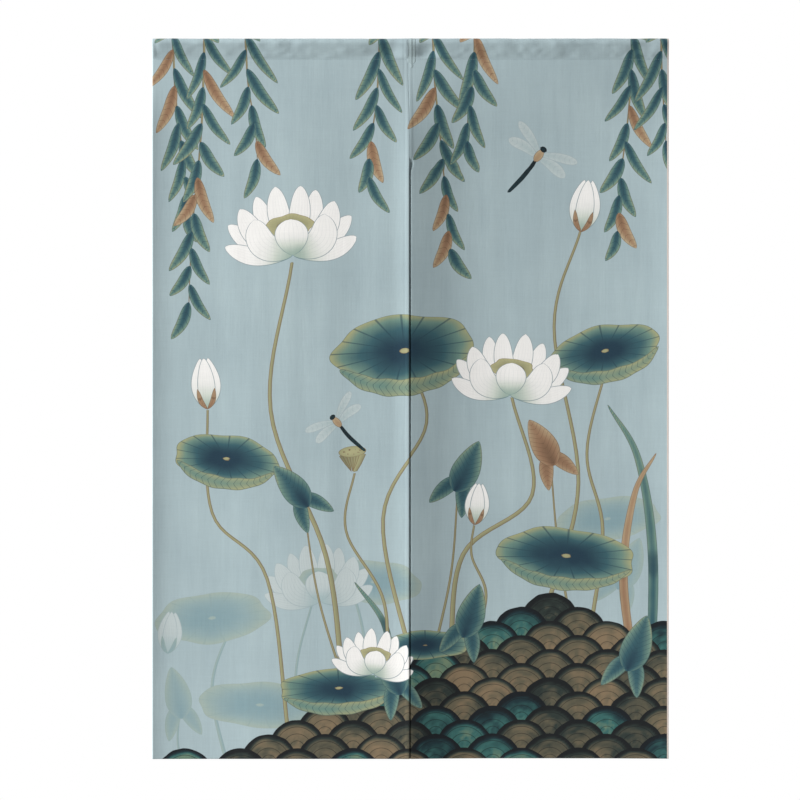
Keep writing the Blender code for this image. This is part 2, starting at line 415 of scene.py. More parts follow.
def reach_of(page, line, margin):
    """The faces near a line."""
    low, high = line.min(axis=0), line.max(axis=0)
    mid, half = (low + high) / 2, (high - low) / 2 + margin
    return page.near(mid[0], mid[1], half[0] + 5, half[1] + 5)


def blade(
    page, points, half_width, ink, fullness=0.75, skew=0.6, veins=9.0, shade=(0.10, 0.95), wavy=0.0
):
    """A leaf or petal about a curved middle line, pointed at both ends.

    Its half-width is half_width times (4u(1-u))^fullness, leaning to its base by exp(skew(0.5-u)),
    where u runs from base to tip. Petals have veins that follow the outline; leaves have slanting
    ones, veins millimetres apart.
    """
    line = curve(points)
    faces = reach_of(page, line, half_width * 1.3)
    if not len(faces):
        return
    x, z = page.x[faces], page.z[faces]
    along, off, length = beside(x, z, line)
    u = along / length
    body = 4 * u * (1 - u)
    lean = np.exp(skew * (0.5 - np.clip(u, -0.3, 1.3)))
    outline = np.sign(body) * np.abs(body) ** fullness * lean
    outline = outline * (1 + wavy * np.sin(along / 7.0 + half_width))
    half = half_width * outline
    out = np.clip(np.abs(off) / np.maximum(half, 2.0), 0, 1)
    cloud = 0.07 * mottle(x / 22, z / 22, 70, 2)
    if ink == PETAL:
        phase = off / np.maximum(half, 2.0) * 3.5
        tone = shade[0] + (shade[1] - shade[0]) * smooth(u, 0.0, 0.75) + cloud
    else:
        phase = (along - 0.85 * np.abs(off)) / veins
        tone = shade[0] + (shade[1] - shade[0]) * (0.45 * u + 0.55 * out**1.5) + cloud
    page.lay(faces, half, off, phase, tone, ink)


def stem(page, points, width, ink=STEM, taper=0.45, shade=0.5):
    """A stalk along a smooth line, narrowing to its end, lighter on one side."""
    line = curve(points)
    faces = reach_of(page, line, width)
    if not len(faces):
        return
    along, off, length = beside(page.x[faces], page.z[faces], line)
    u = along / length
    half = width / 2 * (1 - taper * np.clip(u, 0, 1)) - 9.0 * ((u < 0) | (u > 1))
    tone = shade + 0.33 * np.clip(off / np.maximum(half, 0.5), -1, 1)
    page.lay(faces, half, off, np.zeros_like(off), tone, ink)


def disc(page, x, z, wide, tall, ink, tilt=0.0, rays=0, wavy=0.0, shade=(0.1, 0.9), power=1.5):
    """An oval, or a pad with a wavy rim: the half-width is the radius across it, and the distance
    from its middle is stretched to match where it is foreshortened. Rays are its lines."""
    reach = max(wide, tall) * (1 + 2 * wavy)
    faces = page.near(x, z, reach + 5, reach + 5)
    if not len(faces):
        return
    dx, dz = page.x[faces] - x, page.z[faces] - z
    cos, sin = math.cos(tilt), math.sin(tilt)
    p, q = dx * cos + dz * sin, (dz * cos - dx * sin) * wide / tall
    off = np.hypot(p, q) + 1e-3
    turn = np.arctan2(q, p)
    turn = turn - 2 * np.pi * np.round((turn - turn[:, :1]) / (2 * np.pi))
    edge = 1 + wavy * (np.sin(5 * turn + x) + 0.6 * np.sin(8 * turn + z))
    half = wide * edge
    cloud = 0.08 * mottle(page.x[faces] / 26, page.z[faces] / 26, 80, 2)
    tone = shade[0] + (shade[1] - shade[0]) * np.clip(off / half, 0, 1) ** power + cloud
    phase = turn * rays / (2 * np.pi) + 0.25 if rays else off * 0
    page.lay(faces, half, off, phase, tone, ink)


def turned(points, x, z, size, lean, flip=1):
    """Points of a motif, scaled, mirrored, leant over clockwise by lean and moved to a place."""
    cos, sin = math.cos(lean), math.sin(lean)
    return [
        (x + size * (flip * a * cos + b * sin), z + size * (b * cos - flip * a * sin))
        for a, b in points
    ]


# Petals of an open blossom, back ones first: the tip, the bend between base and tip, the half-width
Petal = namedtuple("Petal", "tip_x tip_z bend_x bend_z half dark")
BLOSSOM = (
    Petal(-46, 84, -34, 44, 15, 0.30),
    Petal(44, 86, 34, 45, 15, 0.30),
    Petal(-16, 96, -14, 50, 17, 0.30),
    Petal(22, 94, 16, 50, 16, 0.30),
    Petal(-92, 46, -58, 16, 15, 0.22),
    Petal(93, 42, 58, 14, 15, 0.22),
    Petal(-72, 68, -50, 26, 18, 0.16),
    Petal(70, 66, 50, 25, 18, 0.16),
)
BLOSSOM_FRONT = (
    Petal(-100, 14, -58, -4, 14, 0.10),
    Petal(98, 10, 58, -7, 14, 0.10),
    Petal(-52, 50, -42, 12, 21, 0.06),
    Petal(54, 48, 44, 10, 21, 0.06),
    Petal(2, 46, 1, 18, 25, 0.03),
)


def petals(page, table, x, z, size, lean, flip):
    for petal in table:
        points = [(0, -8), (petal.bend_x, petal.bend_z), (petal.tip_x, petal.tip_z)]
        places = turned(points, x, z, size, lean, flip)
        shade = (petal.dark, 0.94)
        blade(page, places, petal.half * size, PETAL, 0.62, -0.35, shade=shade)


def blossom(page, x, z, size=1.0, lean=0.0, flip=1):
    """An open blossom from the side: back petals, a fringe of stamens round the green pod, front
    petals."""
    petals(page, BLOSSOM, x, z, size, lean, flip)
    fringe_x, fringe_z = turned([(0, 36)], x, z, size, lean, flip)[0]
    disc(page, fringe_x, fringe_z, 36 * size, 17 * size, STEM, -lean, 34, 0.05, shade=(0.35, 0.97))
    disc(page, fringe_x, fringe_z, 20 * size, 8 * size, STEM, -lean, shade=(0.70, 0.30))
    petals(page, BLOSSOM_FRONT, x, z, size, lean, flip)


def bud(page, x, z, size=1.0, lean=0.0):
    """A closed blossom: three petals wrapped to a point, and two small sepals."""
    for tip, bend, half, dark in ((-6, -12, 13, 0.25), (7, 13, 13, 0.2), (0, 1, 15, 0.1)):
        points = turned([(0, -4), (bend, 34), (tip, 82)], x, z, size, lean)
        blade(page, points, half * size, PETAL, 0.62, 0.45, shade=(dark, 0.92))
    for sign in (-1, 1):
        points = turned([(0, -6), (sign * 10, 8), (sign * 15, 30)], x, z, size, lean)
        blade(page, points, 4.5 * size, RUST, 0.8, 0.2, 40, shade=(0.2, 0.8))


def pod(page, x, z, size=1.0, lean=0.0):
    """A ripe seed pod: a flaring cup under an oval face with dark seeds."""
    for k in range(-3, 4):
        points = turned([(0, 0), (3.5 * k, 16), (7.0 * k, 36)], x, z, size, lean)
        stem(page, points, 7.5 * size, STEM, -0.6, 0.25 + 0.09 * k)
    face_x, face_z = turned([(0, 38)], x, z, size, lean)[0]
    disc(page, face_x, face_z, 26 * size, 10 * size, STEM, -lean, shade=(0.85, 0.55))
    for a, b in ((-15, 39), (-5, 42), (6, 42), (15, 39), (-8, 35), (3, 34), (11, 35)):
        seed_x, seed_z = turned([(a, b)], x, z, size, lean)[0]
        disc(page, seed_x, seed_z, 2.7 * size, 1.8 * size, RUST, shade=(0.1, 0.3))


def pad(page, x, z, wide, tall, tilt=0.0, lip=0.0):
    """A broad round leaf seen aslant, with rays from its middle; lip turns its near rim up to show
    the paler underside."""
    disc(page, x, z, wide, tall, LEAF, tilt, rays=17, wavy=0.035, shade=(0.04, 0.93), power=2.2)
    disc(page, x, z, wide * 0.075, tall * 0.075, STEM, tilt, shade=(0.8, 0.5))
    if lip:
        rim = [(-0.93, -0.36), (-0.5, -0.86), (0.05, -1.02), (0.6, -0.80), (0.95, -0.28)]
        points = turned([(a * wide, b * tall) for a, b in rim], x, z, 1.0, -tilt)
        blade(page, points, tall * lip, LEAF, 0.55, 0.3, 11, shade=(0.62, 0.97), wavy=0.08)


def arrowhead(page, foot, x, z, size, lean, ink=LEAF):
    """A three-lobed leaf on its stalk: a long middle blade and two lobes pointing back."""
    if foot:
        bend = ((foot[0] + x) / 2 + 14 * math.sin(x), (foot[1] + z) / 2)
        stem(page, [foot, bend, (x, z)], 5.5 * size)
    for sign in (-1, 1):
        points = turned([(0, 12), (sign * 17, -14), (sign * 33, -54)], x, z, size, lean)
        blade(page, points, 14 * size, ink, 0.66, 0.5, 8, shade=(0.10, 0.90))
    points = turned([(0, -16), (2, 30), (0, 88)], x, z, size, lean)
    blade(page, points, 25 * size, ink, 0.70, 0.7, 9, shade=(0.03, 0.95))


def strand(page, x, length, sway, seed, spacing=30.0):
    """A hanging twig with slender leaves, left and right by turns, shorter towards its tip."""
    chance = np.random.default_rng(seed)
    line = [(x, 90), *((x + a * sway, -b * length) for a, b in ((0.25, 0.3), (0.8, 0.7), (1, 1)))]
    stem(page, line, 4.6, STEM, 0.75, 0.45)
    places = curve(line, 40)
    depths = np.concatenate([np.arange(-10.0, length, spacing), [-44.0, -60.0, -76.0]])
    for number, depth in enumerate(depths):
        at = places[np.argmin(np.abs(places[:, 1] + depth))]
        side = -1 if number % 2 else 1
        share = depth / length
        long = (92 - 30 * share if depth > -20 else 55) * chance.uniform(0.85, 1.1)
        lean = math.pi - side * chance.uniform(0.28, 0.62)
        points = turned([(0, 0), (side * 5, 0.5 * long), (0, long)], at[0], at[1], 1.0, lean)
        ink = RUST if chance.uniform() < 0.16 else LEAF
        blade(page, points, chance.uniform(8.0, 10.5), ink, 0.62, 0.35, 11, shade=(0.06, 1.10))


def reed(page, points, half, ink=LEAF):
    """A long narrow leaf."""
    blade(page, points, half, ink, 0.45, 0.5, 400, shade=(0.25, 0.9))


def dragonfly(page, x, z, size, lean, flip=1):
    """Four pale veined wings, a dark banded tail, a cream chest and a dark head."""
    for foot, bend, tip, half in (
        ((0, 4), (-26, 16), (-58, 26), 7.5),
        ((0, 4), (26, 18), (56, 30), 7.5),
        ((0, -2), (-26, 0), (-54, -6), 8.5),
        ((0, -2), (26, 2), (55, 0), 8.5),
    ):
        wing = turned([foot, bend, tip], x, z, size, lean, flip)
        blade(page, wing, half * size, GHOST_PETAL, 0.5, -0.6)
    tail = turned([(0, -4), (2, -34), (-2, -74)], x, z, size, lean, flip)
    blade(page, tail, 3.6 * size, DEEP, 0.25, 0.1, 11, shade=(0.06, 0.5))
    chest = turned([(0, -10), (0, 0), (0, 13)], x, z, size, lean, flip)
    blade(page, chest, 6.5 * size, RUST, 0.5, 0.0, 50, shade=(0.5, 0.95))
    head_x, head_z = turned([(0, 14)], x, z, size, lean, flip)[0]
    disc(page, head_x, head_z, 6.0 * size, 4.4 * size, DEEP, -lean, shade=(0.3, 0.06))


WAVE_RADIUS = 47.0


def wave_crest(x):
    """The height of the wave band's upper edge: it rises from the left to a crest on the right."""
    rise = 165 * smooth(x, -420, 60) + 105 * np.exp(-(((x - 240) / 205) ** 2))
    return -1205 + rise


def waves(page):
    """A band of overlapping round wave scales, row before row: each is brushed in tan and olive or
    in green, darkens to a black rim, and is streaked along its own curve."""
    row_step = WAVE_RADIUS / 2
    for row in range(18):
        centre_z = -900 - row * row_step
        shift = (row % 2) * WAVE_RADIUS
        for centre_x in np.arange(-470, 480, 2 * WAVE_RADIUS) + shift:
            if centre_z + 0.5 * WAVE_RADIUS > wave_crest(centre_x):
                continue
            faces = page.near(centre_x, centre_z, WAVE_RADIUS + 5, WAVE_RADIUS + 5)
            if not len(faces):
                continue
            x, z = page.x[faces], page.z[faces]
            off = np.hypot(x - centre_x, z - centre_z) + 1e-3
            turn = np.arctan2(z - centre_z, x - centre_x)
            share = off / WAVE_RADIUS
            rim = WAVE_RADIUS * (1 + 0.014 * mottle(x / 9, z / 9, 90, 1))
            cloud = 0.30 * mottle(x / 62 + 3, z / 46, 93, 3)
            brush = 0.20 * mottle(turn * 2.2 + centre_x, off / 5.5 + row, 95, 2)
            by_scale = np.array([centre_x / 50 + 0.3, centre_x / 70 + 9.1])
            own, hue = mottle(by_scale, centre_z / 20 + 0.7, 97, 1)
            rim_dark = 0.22 * share**2 + 0.75 * smooth(share, 0.76, 0.99)
            tone = 0.66 + cloud + brush + 0.30 * own - rim_dark
            page.lay(faces, rim, off, off / 11.5 + 0.42, tone, DEEP if hue > 0.25 else WAVE)


def pond(page):
    """The whole picture, from the farthest shapes to the nearest."""
    page.ghostly = True
    stem(page, [(-300, -1230), (-330, -1080), (-290, -960)], 7)
    stem(page, [(-180, -1230), (-190, -1060), (-160, -930)], 6)
    stem(page, [(-60, -1230), (-75, -1000), (-120, -850)], 7)
    pad(page, -330, -965, 96, 42, 0.10)
    pad(page, -250, -1110, 104, 38, -0.06)
    pad(page, -60, -905, 84, 36, -0.08)
    blossom(page, -150, -930, 0.92, -0.1)
    bud(page, -404, -1020, 0.8, 0.10)
    arrowhead(page, (-372, -1230), -384, -1120, 0.85, -0.2)
    arrowhead(page, None, 352, -905, 0.9, 0.4)
    pad(page, 330, -800, 86, 36, 0.12)
    page.ghostly = False

    for strand_of_leaves in (
        (-398, 300, 26, 11),
        (-340, 470, -30, 12),
        (-276, 210, 22, 13),
        (-46, 250, -24, 14),
        (38, 380, 34, 15),
        (112, 190, -18, 16),
        (372, 330, -26, 17),
        (416, 200, 10, 18),
    ):
        strand(page, *strand_of_leaves)

    reed(page, [(400, -1080), (404, -860), (380, -700), (330, -610)], 8.0)
    reed(page, [(378, -1080), (356, -900), (374, -760), (410, -690)], 7.0, RUST)
    reed(page, [(-60, -1180), (-34, -1080), (-40, -980), (-92, -905)], 6.5)

    stem(page, [(-110, -1080), (-140, -860), (-232, -620), (-196, -372)], 9.5)
    stem(page, [(70, -1040), (92, -860), (206, -760), (172, -596)], 9.0)
    stem(page, [(-200, -1180), (-238, -900), (-330, -790), (-338, -600)], 7.0)
    stem(page, [(230, -950), (282, -740), (242, -480), (286, -318)], 7.5)
    stem(page, [(10, -1060), (-44, -800), (32, -640), (-10, -520)], 8.0)
    stem(page, [(-40, -1100), (-42, -940), (-106, -820), (-90, -716)], 6.5)
    stem(page, [(300, -1000), (322, -820), (296, -690), (330, -540)], 7.0)
    stem(page, [(100, -1030), (130, -930), (106, -860), (112, -800)], 6.0)

    pad(page, 326, -520, 92, 42, 0.22, 0.26)
    pad(page, -306, -700, 88, 40, -0.14, 0.26)
    arrowhead(page, (-100, -1100), -178, -770, 0.86, -0.7)
    pad(page, -8, -520, 120, 60, 0.10, 0.24)
    arrowhead(page, (40, -1040), 84, -742, 0.9, 0.45)
    arrowhead(page, (270, -980), 236, -700, 0.84, -0.5, RUST)
    bud(page, -338, -612, 0.98, -0.08)
    bud(page, 287, -316, 1.0, 0.14)
    pod(page, -92, -722, 0.9, -0.10)
    blossom(page, -196, -352, 1.12, -0.10)
    blossom(page, 170, -586, 1.0, 0.10, -1)
    dragonfly(page, 214, -196, 1.05, 0.65)
    dragonfly(page, -120, -640, 0.9, -0.75, -1)
    pad(page, 262, -862, 114, 46, -0.10, 0.24)
    bud(page, 112, -806, 0.8, 0.10)
    waves(page)
    pad(page, -118, -1082, 100, 34, 0.05, 0.30)
    pad(page, 30, -1010, 76, 24, 0.03)
    arrowhead(page, None, -20, -1080, 0.9, -0.35)
    arrowhead(page, None, 96, -985, 0.9, 0.3)
    arrowhead(page, None, 366, -1040, 0.95, 0.35)
    blossom(page, -60, -1052, 0.72, 0.12)


# Materials


def linear(red, green, blue):
    """A display colour of 0 to 255 as linear light."""
    shares = (channel / 255 for channel in (red, green, blue))
    return tuple(s / 12.92 if s <= 0.04045 else ((s + 0.055) / 1.055) ** 2.4 for s in shares)


def opaque(colour):
    """A display colour as a socket's four linear numbers."""
    return (*linear(*colour), 1.0)


class Value:
    """A number from a socket. Python's operators on it add Math nodes."""

    def __init__(self, shader, socket):
        self.shader, self.socket = shader, socket

    def math(self, operation, *others, clamp=False):
        operands = dict(enumerate([self, *others]))
        settings = {"operation": operation, "use_clamp": clamp}
        return self.shader.add("ShaderNodeMath", settings, operands).value()

    def __add__(self, other):
        return self.math("ADD", other)

    def __radd__(self, other):
        return self.math("ADD", other)

    def __sub__(self, other):
        return self.math("SUBTRACT", other)

    def __rsub__(self, other):
        return self.shader.constant(other).math("SUBTRACT", self)

    def __mul__(self, other):
        return self.math("MULTIPLY", other)

    def __rmul__(self, other):
        return self.math("MULTIPLY", other)

    def __abs__(self):
        return self.math("ABSOLUTE")

    def ramped(self, low, high):
        """0 at low and 1 at high, held beyond them."""
        return self.math("MULTIPLY_ADD", 1 / (high - low), -low / (high - low), clamp=True)


class Number:
    """A plain number standing first in an expression."""

    def __init__(self, shader, number):
        self.shader, self.number = shader, number

    def math(self, operation, other):
        settings = {"operation": operation}
        return self.shader.add("ShaderNodeMath", settings, {0: self.number, 1: other}).value()


class Added:
    """A node just added, whose outputs are taken by name or number."""

    def __init__(self, shader, node):
        self.shader, self.node = shader, node

    def value(self, output=0):
        return Value(self.shader, self.node.outputs[output])


class Shader:
    """A material under construction."""

    def __init__(self, name):
        self.material = bpy.data.materials.new(name)
        self.material.use_nodes = True
        self.tree = self.material.node_tree
        self.surface = self.tree.nodes["Principled BSDF"]

    def constant(self, number):
        return Number(self, number)

    def add(self, kind, settings=None, sockets=None, stops=None):
        """Adds a node: its settings, then its ramp's stops, then its sockets' values or links."""
        node = self.tree.nodes.new(kind)
        for name, setting in (settings or {}).items():
            setattr(node, name, setting)
        if stops:
            elements = node.color_ramp.elements
            for place, colour in stops[2:]:
                elements.new(place)
            for element, (place, colour) in zip(elements, stops):
                element.position, element.color = place, colour
        self.set(node, sockets or {})
        return Added(self, node)

    def set(self, node, sockets):
        for name, wanted in sockets.items():
            if isinstance(wanted, Value):
                self.tree.links.new(wanted.socket, node.inputs[name])
            else:
                node.inputs[name].default_value = wanted

    def mix(self, factor, first, second, blend="MIX"):
        """A colour between two, by a factor."""
        settings = {"data_type": "RGBA", "blend_type": blend}
        return self.add("ShaderNodeMix", settings, {0: factor, 6: first, 7: second}).value(2)

    def stretched(self, place, scale):
        """A place in a pattern of its own scale."""
        settings = {"operation": "MULTIPLY"}
        return self.add("ShaderNodeVectorMath", settings, {0: place, 1: scale}).value()

    def noise(self, place, scale, detail=2.0, roughness=0.5):
        """Soft noise between 0 and 1 at places stretched by three scales."""
        sockets = {"Vector": self.stretched(place, scale), "Scale": 1.0}
        sockets |= {"Detail": detail, "Roughness": roughness}
        return self.add("ShaderNodeTexNoise", {"noise_dimensions": "3D"}, sockets).value(0)


# An ink has four shades, from dark to light, and one colour for its drawn lines, with how strongly
# they cover the shade along the rim and as veins.
Ink = namedtuple("Ink", "fills rim line vein")
INKS = {
    PETAL: Ink(
        fills=[(150, 172, 160), (205, 212, 202), (232, 232, 228), (243, 241, 238)],
        rim=0.80,
        line=(96, 122, 132),
        vein=0.13,
    ),
    LEAF: Ink(
        fills=[(24, 50, 68), (55, 92, 100), (108, 138, 126), (168, 166, 122)],
        rim=0.55,
        line=(38, 66, 78),
        vein=0.62,
    ),
    RUST: Ink(
        fills=[(110, 84, 64), (148, 116, 90), (170, 146, 116), (196, 180, 150)],
        rim=0.60,
        line=(98, 74, 56),
        vein=0.55,
    ),
    STEM: Ink(
        fills=[(112, 112, 88), (142, 140, 108), (160, 158, 120), (182, 178, 136)],
        rim=0.75,
        line=(118, 92, 66),
        vein=0.25,
    ),
    WAVE: Ink(
        fills=[(13, 16, 20), (44, 54, 50), (98, 92, 74), (136, 116, 90)],
        rim=0.95,
        line=(16, 19, 22),
        vein=0.66,
    ),
    DEEP: Ink(
        fills=[(12, 16, 22), (24, 50, 56), (56, 104, 100), (122, 140, 112)],
        rim=0.90,
        line=(13, 17, 22),
        vein=0.66,
    ),
    GHOST_PETAL: Ink(
        fills=[(160, 180, 182), (176, 190, 191), (186, 197, 197), (190, 200, 200)],
        rim=0.55,
        line=(140, 160, 166),
        vein=0.35,
    ),
    GHOST_LEAF: Ink(
        fills=[(130, 157, 164), (142, 165, 168), (153, 172, 168), (163, 176, 166)],
        rim=0.35,
        line=(140, 160, 160),
        vein=0.35,
    ),
}
GROUND = (166, 184, 187)
GROUND_DARK = (161, 179, 184)
GROUND_LIGHT = (171, 189, 193)
# The thread's tones are painted shade: the ground as it looks in shade, darker than its own colour
THREAD_SHADED_DARK = (112, 132, 136)
THREAD_SHADED_LIGHT = (150, 166, 170)
BARE_EDGE = 0.0028  # the print stops this far from the right panel's outer edge
BARE_FADE = 0.0005
BARE_COLOUR = (220, 206, 197)
BACK_COLOUR = (174, 189, 191)
BACK_SHARE = 0.74  # of the back's own colour over the print that shows through


def ink_stops(colours_of, strength_of):
    """Ramp stops for all inks side by side: four shades each, with a strength as their alpha."""
    stops = []
    for number, ink in INKS.items():
        for place, colour in zip((0.03, 0.35, 0.66, 0.97), colours_of(ink)):
            stops.append(((number + place) / len(INKS), (*linear(*colour), strength_of(ink))))
    return stops


def printed_cloth():
    """Woven cloth with the print: each shape's fill, veins and outline laid over a mottled ground,
    left bare by the right edge, paler towards the back, with slubs in the weave."""
    shader = Shader("printed_cloth")
    place = shader.add("ShaderNodeUVMap", {"uv_map": "cloth"}).value()
    colour = ground_colour(shader, place)
    grain = shader.noise(place, (900.0, 900.0, 1.0), 2.0)
    fill_stops = ink_stops(lambda ink: ink.fills, lambda ink: ink.rim)
    line_stops = ink_stops(lambda ink: [ink.line] * 4, lambda ink: ink.vein)
    for layer in "abcd":
        ink = shader.add("ShaderNodeAttribute", {"attribute_name": f"ink_{layer}"})
        parts = shader.add("ShaderNodeSeparateXYZ", {}, {0: ink.value(1)})
        half, off, phase, code = parts.value(0), abs(parts.value(1)), parts.value(2), ink.value(3)
        inset = half - off
        number = code * (1 / len(INKS))
        fill = shader.add("ShaderNodeValToRGB", {}, {0: number}, fill_stops)
        line = shader.add("ShaderNodeValToRGB", {}, {0: number}, line_stops)
        rim = (1 - inset.ramped(0.75, 1.35)) * fill.value(1)
        between = abs(phase.math("FRACT") - 0.5)
        vein = (1 - between.ramped(0.030, 0.065)) * line.value(1)
        drawn = rim.math("MAXIMUM", vein)
        painted = shader.mix(drawn, fill.value(0), line.value(0))
        colour = shader.mix(inset.ramped(-0.3, 0.3), colour, painted)
    across = shader.add("ShaderNodeSeparateXYZ", {}, {0: place}).value(0)
    bare_from = 1 + HALF - BARE_EDGE
    bare = across.ramped(bare_from, bare_from + BARE_FADE)
    colour = shader.mix(bare, colour, opaque(BARE_COLOUR))
    weave, height = weave_of(shader, place)
    shade = 0.945 + 0.11 * weave + 0.03 * (grain - 0.5)
    grey = shader.add("ShaderNodeCombineColor", {}, {0: shade, 1: shade, 2: shade}).value()
    colour = shader.mix(1.0, colour, grey, "MULTIPLY")
    back = shader.add("ShaderNodeAttribute", {"attribute_name": "back"}).value(2)
    colour = shader.mix(back * BACK_SHARE, colour, opaque(BACK_COLOUR))
    return finish_cloth(shader, colour, height)


def ground_colour(shader, place):
    """The dusty blue ground, with soft large clouds and finer upright ones."""
    clouds = shader.noise(place, (7.0, 7.0, 1.0), 3.0)
    streaks = shader.noise(place, (55.0, 6.0, 1.0), 3.0)
    mixed = 0.6 * clouds + 0.4 * streaks
    return shader.mix(mixed.ramped(0.35, 0.65), opaque(GROUND_DARK), opaque(GROUND_LIGHT))


def weave_of(shader, place):
    """How light the yarns are, 0 to 1, and how high they stand: crossed threads, and upright and
    level slubs of differing lengths."""
    across = shader.noise(place, (1100.0, 60.0, 1.0), 1.0)
    level = shader.noise(place, (60.0, 1100.0, 1.0), 1.0)
    upright_slubs = shader.noise(place, (390.0, 16.0, 1.0), 2.0)
    level_slubs = shader.noise(place, (16.0, 390.0, 1.0), 2.0)
    weave = 0.22 * across + 0.18 * level + 0.36 * upright_slubs + 0.24 * level_slubs
    return weave.ramped(0.32, 0.68), weave


def finish_cloth(shader, colour, height):
    """The cloth's own finish: matt, with a faint sheen and the weave's relief."""
    relief = {"Strength": 0.35, "Distance": 0.0006, "Height": height}
    bump = shader.add("ShaderNodeBump", {}, relief).value()
    shader.set(
        shader.surface,
        {
            "Base Color": colour,
            "Roughness": 0.88,
            "Specular IOR Level": 0.25,
            "Sheen Weight": 0.12,
            "Sheen Roughness": 0.5,
            "Normal": bump,
        },
    )
    return shader.material


def plain_cloth(name, colour):
    """The strip's cloth: the ground's weave without the print."""
    shader = Shader(name)
    place = shader.add("ShaderNodeUVMap", {"uv_map": "cloth"}).value()
    weave, height = weave_of(shader, place)
    darker = [0.93 * channel for channel in colour]
    tone = shader.mix(weave.ramped(0.3, 0.7), opaque(darker), opaque(colour))
    return finish_cloth(shader, tone, height)


def thread():
    """Sewing thread in a painted shade of the ground, darker than its own colour, with a fine
    twist.
    """
    shader = Shader("thread")
    place = shader.add("ShaderNodeTexCoord").value(3)
    twist = shader.noise(place, (2200.0, 2200.0, 2200.0), 1.0)
    colour = shader.mix(twist, opaque(THREAD_SHADED_DARK), opaque(THREAD_SHADED_LIGHT))
    shader.set(shader.surface, {"Base Color": colour, "Roughness": 0.7})
    return shader.material


# Pieces


def ring_faces(count, ring):
    """Four-sided faces of a grid of points, from each ring to the next and closed round the ring,
    as an array (count - 1, ring, 4) of point numbers."""
    i, k = np.meshgrid(np.arange(count - 1), np.arange(ring), indexing="ij")
    here, beyond = i * ring, (i + 1) * ring
    after = (k + 1) % ring
    return np.stack([here + k, here + after, beyond + after, beyond + k], axis=-1)


def add_piece(name, points, faces, material, uv=None):
    """Adds a mesh piece that rides on the curtain's one body, with its cloth coordinates."""
    mesh = bpy.data.meshes.new(name)
    mesh.from_pydata(points.reshape(-1, 3).tolist(), [], faces)
    mesh.materials.append(material)
    mesh.shade_smooth()
    obj = bpy.data.objects.new(name, mesh)
    bpy.context.scene.collection.objects.link(obj)
    if uv is not None:
        corners = np.empty(len(mesh.loops), dtype=np.int32)
        mesh.loops.foreach_get("vertex_index", corners)
        layer = mesh.uv_layers.new(name="cloth")
        layer.uv.foreach_set("vector", uv.reshape(-1, 2)[corners].astype(np.float32).ravel())
    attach(obj, "root")
    return obj


def columns(spacing=0.0033):
    """Places across a panel: close together through each side hem, even between. An odd number."""
    hem = np.array([1.0, 2.0, 3.0, 4.0, 4.8, 5.4, 6.0, 6.6, 7.4, 9.0, 11.5]) / 1000
    count = 2 * round((HALF - 2 * hem[-1]) / spacing / 2)
    between = np.linspace(hem[-1], HALF - hem[-1], count + 1)[1:-1]
    return np.concatenate([hem, between, HALF - hem[::-1]])


def rows(spacing=0.0035):
    """Places along a panel's cloth: close through the bottom hem, the stitches and the sleeve."""
    hem = np.array([0.0012, 0.0030, 0.0060, 0.0090, 0.0120, 0.0132, 0.0141, 0.0150, 0.0170])
    panel_end = PANEL_LENGTH - 0.010
    panel = np.linspace(hem[-1], panel_end, round((panel_end - hem[-1]) / spacing) + 1)[1:]
    seam = PANEL_LENGTH + np.array([-0.007, -0.0045, -0.0025, -0.0012, 0.0, 0.0012, 0.0025])
    front = PANEL_LENGTH + np.linspace(0.0025, ROUND_START, 10)[1:]
    over = PANEL_LENGTH + np.linspace(ROUND_START, ROUND_END, 16)[1:]
    down = PANEL_LENGTH + np.linspace(ROUND_END, SLEEVE_RUN - SLEEVE_LIP, 8)[1:]
    lip = PANEL_LENGTH + np.array([SLEEVE_RUN - SLEEVE_LIP / 2, SLEEVE_RUN - 0.0004])
    return np.concatenate([hem, panel, seam, front, over, down, lip])


def sheet_points(side, across, along, inward):
    """Points of the sheet: inward is the share of the cloth's thickness behind its printed face."""
    points, outward = hung(side, across, along)
    return points - outward * (thickness(across, along) * inward)[..., None]


